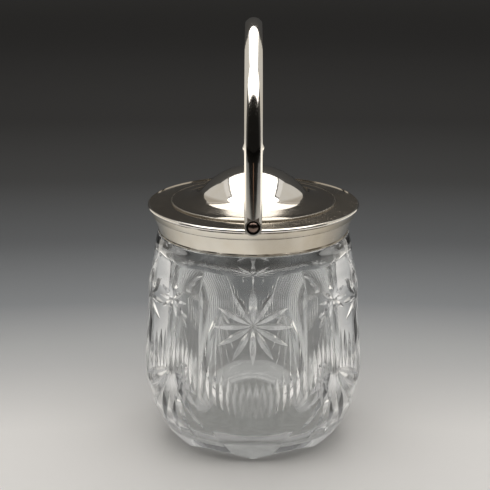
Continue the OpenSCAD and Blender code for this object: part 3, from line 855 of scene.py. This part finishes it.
def makeLid():
    m = lid
    mid = m["domeTop"] - m["ballR"]

    def ball(r, tilt):      # a point of the dome
        t = math.radians(tilt)
        return [r * math.sin(t), mid + r * math.cos(t)]

    hollowMid = ball(m["ballR"] + m["hollowR"], m["domeTilt"])

    def bend(r, tilt):      # a point of the hollow between dome and brim
        t = math.radians(tilt)
        return [hollowMid[0] - r * math.sin(t), hollowMid[1] - r * math.cos(t)]

    low, top = [m["brimLowR"], m["seatZ"] + m["sheet"]], bend(m["hollowR"], m["brimTilt"])
    brim = [[low[0] + (top[0] - low[0]) * t, low[1] + (top[1] - low[1]) * t ** m["brimBend"]]
            for t in np.linspace(0, 1, 24)[:-1]]
    profile = [[m["edgeR"], m["seatZ"]], [m["edgeR"], low[1]]] + brim
    profile += [bend(m["hollowR"], a) for a in np.linspace(m["brimTilt"], m["domeTilt"], 14)]
    tilt = math.degrees(math.asin(m["studR"] / m["ballR"]))
    profile += [ball(m["ballR"], a) for a in np.linspace(m["domeTilt"], tilt, 60)[1:]]
    profile += [ball(m["ballR"] - m["sheet"], a) for a in np.linspace(tilt, m["domeTilt"], 30)]
    profile += [bend(m["hollowR"] + m["sheet"], a) for a in np.linspace(m["domeTilt"], m["brimTilt"], 10)[1:]]
    profile += [[r - m["sheet"] / 3, z - m["sheet"]] for r, z in brim[:5:-2]] + [[low[0] - 0.8, m["seatZ"]]]
    piece = spun("domedLid", profile, m["steps"], silver["silverLid"])
    smoothTo(piece, 30)
    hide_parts("lid_shell")
    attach(piece, "lid")

makeLid()
print("silver made")


# ---- nodes that keep their shape
def dress(node, material):
    for slot in frame["nodes"][node].material_slots:
        slot.material = material

worn = {
    "silverPlate": ("rim_wire", "finial_foot", "finial_knob"),
    "silverPlateWorn": ("lug_front", "lug_back", "lid_bezel", "finial_stud", "finial_nut"),
    "silverBail": ("bail_handle",),
    # painted shade: the lid wire takes the darkened silver so its highlight stays faint
    "silverPaintedDim": ("lid_wire",),
    "rivetWorn": ("rivet_front", "rivet_back"),
}
for finish, nodes in worn.items():
    for node in nodes:
        dress(node, silver[finish])
dress("plaster_bed", plaster)

bailEdge = {"width": 0.4 * mm, "segments": 3, "angle": 50}
soften = frame["nodes"]["bail_handle"].modifiers.new("soften", "BEVEL")
soften.limit_method, soften.angle_limit = "ANGLE", math.radians(bailEdge["angle"])
soften.width, soften.segments = bailEdge["width"], bailEdge["segments"]
print("nodes dressed")


# ---- stage, in metres
studio = {
    "middle": -0.20,      # the pale round of the paper lies round this y
    # painted pool of light: the paper's brightness by its distance from there
    "paper": [(0.0, 0.69, "warm"), (0.2, 0.655, "warm"), (0.29, 0.44, "even"), (0.414, 0.216, "cool"),
              (0.587, 0.108, "cool"), (0.847, 0.06, "even"), (1.28, 0.057, "warm"), (2.14, 0.14, "warm"),
              (4.6, 0.30, "warm")],
    "tints": {"warm": (1.0, 0.985, 0.965), "even": (0.985, 0.99, 0.99), "cool": (0.96, 1.0, 1.04)},
    "floor": {"left": -4, "right": 4, "front": -4, "back": 6, "low": -0.0003},
    "dusk": (-0.575, -0.55),      # the paper falls to dark between these y, behind the camera
    "duskTint": (0.006, 0.0055, 0.005, 1),
    "brown": {"x": 0.012, "y": -0.86, "wide": 0.045, "long": 5, "tint": (0.30, 0.17, 0.11, 1)},
}
# painted light and shade: how bright the paper is through the glass: close by, farther off, and beside the
# jar
seenThrough = {
    "near": 0.12, "nearShare": 0.42, "far": 0.30, "farShare": 0.78,
    "aside": (0.06, 0.14), "asideShare": 1.4, "asideFar": (0.2, 0.4), "asideLoss": 0.45,
    "underGlass": 0.15, "underR": (0.05, 0.11), "underTint": (1, 0.985, 0.96, 1),
}
# pale cards at both sides that only show in reflections, brighter at the foot
cards = {
    "out": 0.56, "front": -0.10, "back": 0.68, "top": 0.88,
    "footTop": 0.13, "fade": 0.04, "low": 1.2, "high": 0.55, "tint": (1, 0.96, 0.89, 1),
}
# the world's brightness by height, plain and as it is seen through the glass, and dark behind the camera
air = {
    "plain": [(0.0, 0.05), (0.35, 0.06), (1.0, 0.10)], "plainTint": (1, 0.97, 0.93),
    "tent": [(0.0, 0.20), (0.5, 0.34), (1.0, 0.50)], "tentTint": (1, 0.98, 0.95),
    "behind": (-0.55, -0.15), "behindTint": (0.008, 0.0075, 0.007, 1),
}
# a white box overhead, wider in front, with a dimmer panel at each side of its back half
lampHeight, lampTint = 0.96, (1.0, 0.98, 0.95)
lamps = {
    "boxMiddle": {"left": -0.47, "right": 0.47, "front": -0.66, "back": 0.85, "radiance": 2.3},
    "boxFrontLeft": {"left": -1.02, "right": -0.47, "front": -0.66, "back": -0.09, "radiance": 2.3},
    "boxFrontRight": {"left": 0.47, "right": 1.02, "front": -0.66, "back": -0.09, "radiance": 2.3},
    "panelLeft": {"left": -1.70, "right": -0.50, "front": -0.05, "back": 0.88, "radiance": 0.62},
    "panelRight": {"left": 0.50, "right": 1.70, "front": -0.05, "back": 0.88, "radiance": 0.62},
}


def glassShare(near, beside):
    # the paper's share of brightness where it is seen through the glass
    seen = seenThrough
    ahead = near.ramp(seen["near"], seen["far"]) * (seen["farShare"] - seen["nearShare"]) + seen["nearShare"]
    aside = near.ramp(*seen["asideFar"]) * -seen["asideLoss"] + seen["asideShare"]
    beside = beside.ramp(*seen["aside"])
    return ahead * (1 - beside) + beside * aside


def paperMaterial():
    made, start, coords = newMaterial("studioPaper")
    across = axis(start, coords, 0)
    along = axis(start, coords, 1)
    through = isRay(start, "Transmission")
    mirrored = isRay(start, "Glossy")
    # painted pool of light: the paper's colour follows its distance from the pale round
    away = ((across * 0.5) ** 2 + (along - studio["middle"]) ** 2) ** 0.5
    reach = studio["paper"][-1][0]
    stops = [(d / reach, [v * t for t in studio["tints"][tint]]) for d, v, tint in studio["paper"]]
    paper = start.node("ShaderNodeValToRGB", {"stops": stops}, {0: away / reach})
    near = (across ** 2 + along ** 2) ** 0.5
    # painted light and shade on the paper, only for rays through the glass
    share = glassShare(near, (across ** 2) ** 0.5) * through + (1 - through)
    shade = start.node("ShaderNodeCombineColor", {}, {0: share, 1: share, 2: share})
    paper = start.node("ShaderNodeMix", {"data_type": "RGBA", "blend_type": "MULTIPLY"},
                       {0: 1.0, 6: paper, 7: shade}, 2)
    # a soft brown spot that the strap mirrors
    brown = studio["brown"]
    spotX = (across - brown["x"]) / brown["wide"]
    spotY = (along - brown["y"]) / (brown["wide"] * brown["long"])
    spot = (1 - ((spotX ** 2 + spotY ** 2) ** 0.5).ramp(0.5, 1.3)) * mirrored
    paper = along.ramp(*studio["dusk"]).mix(spot.mix(studio["duskTint"], brown["tint"]), paper)
    # painted light: the paper under the jar glows for rays through the glass, in place of the light the glass
    # leads down
    lit = (1 - near.ramp(*seenThrough["underR"])) * through * seenThrough["underGlass"]
    lit = lit.mix((0, 0, 0, 1), seenThrough["underTint"])
    principled(start, {"Base Color": paper, "Roughness": 0.7, "Specular IOR Level": 0.2,
                       "Emission Color": lit, "Emission Strength": 1.0})
    return made


def cardMaterial():
    made, start, coords = newMaterial("studioCard")
    height = axis(start, coords, 2)
    above = height.ramp(cards["footTop"] - cards["fade"], cards["footTop"] + cards["fade"])
    level = cards["high"] + (cards["low"] - cards["high"]) * (1 - above)
    shine = start.node("ShaderNodeEmission", {}, {"Color": cards["tint"], "Strength": level})
    unseen = start.node("ShaderNodeBsdfTransparent")
    mirrored = isRay(start, "Glossy")
    closeWith(start, start.node("ShaderNodeMixShader", {}, {0: mirrored, 1: unseen, 2: shine}))
    return made


def makeStage():
    f = {key: value / mm for key, value in studio["floor"].items()}
    corners = [(f["left"], f["front"], f["low"]), (f["right"], f["front"], f["low"]),
               (f["right"], f["back"], f["low"]), (f["left"], f["back"], f["low"])]
    meshObject("studioFloor", corners, [[0, 1, 2, 3]], paperMaterial())
    finish = cardMaterial()
    for name, side in (("cardLeft", -1), ("cardRight", 1)):
        x, y0, y1, z1 = (v / mm for v in (side * cards["out"], cards["front"], cards["back"], cards["top"]))
        meshObject(name, [(x, y0, 0), (x, y1, 0), (x, y1, z1), (x, y0, z1)], [[0, 1, 2, 3]], finish)


def makeAir():
    world = bpy.data.worlds.new("studioAir")
    world.use_nodes = True
    world.node_tree.nodes.clear()
    start = Signal(world.node_tree)
    way = start.node("ShaderNodeTexCoord", {}, {}, "Generated")
    ahead = axis(start, way, 1)
    height = axis(start, way, 2)

    def tinted(kind):
        stops = [(h, [v * t for t in air[kind + "Tint"]]) for h, v in air[kind]]
        return start.node("ShaderNodeValToRGB", {"stops": stops}, {0: height})

    sky, tent = tinted("plain"), tinted("tent")
    sky = ahead.ramp(*air["behind"]).mix(air["behindTint"], sky)
    sky = isRay(start, "Transmission").mix(sky, tent)
    start.node("ShaderNodeOutputWorld", {},
               {"Surface": start.node("ShaderNodeBackground", {}, {"Color": sky, "Strength": 1.0})})
    bpy.context.scene.world = world
    bpy.context.scene.view_settings.view_transform = "Standard"


def makeLamps():
    for name, lamp in lamps.items():
        light = bpy.data.lights.new(name, "AREA")
        light.shape = "RECTANGLE"
        light.size, light.size_y = lamp["right"] - lamp["left"], lamp["back"] - lamp["front"]
        light.energy = lamp["radiance"] * math.pi * light.size * light.size_y
        light.color = lampTint
        holder = bpy.data.objects.new(name, light)
        bpy.context.scene.collection.objects.link(holder)
        holder.location = ((lamp["left"] + lamp["right"]) / 2, (lamp["front"] + lamp["back"]) / 2, lampHeight)


makeStage()
makeAir()
makeLamps()
print("stage set")

bpy.context.view_layer.update()
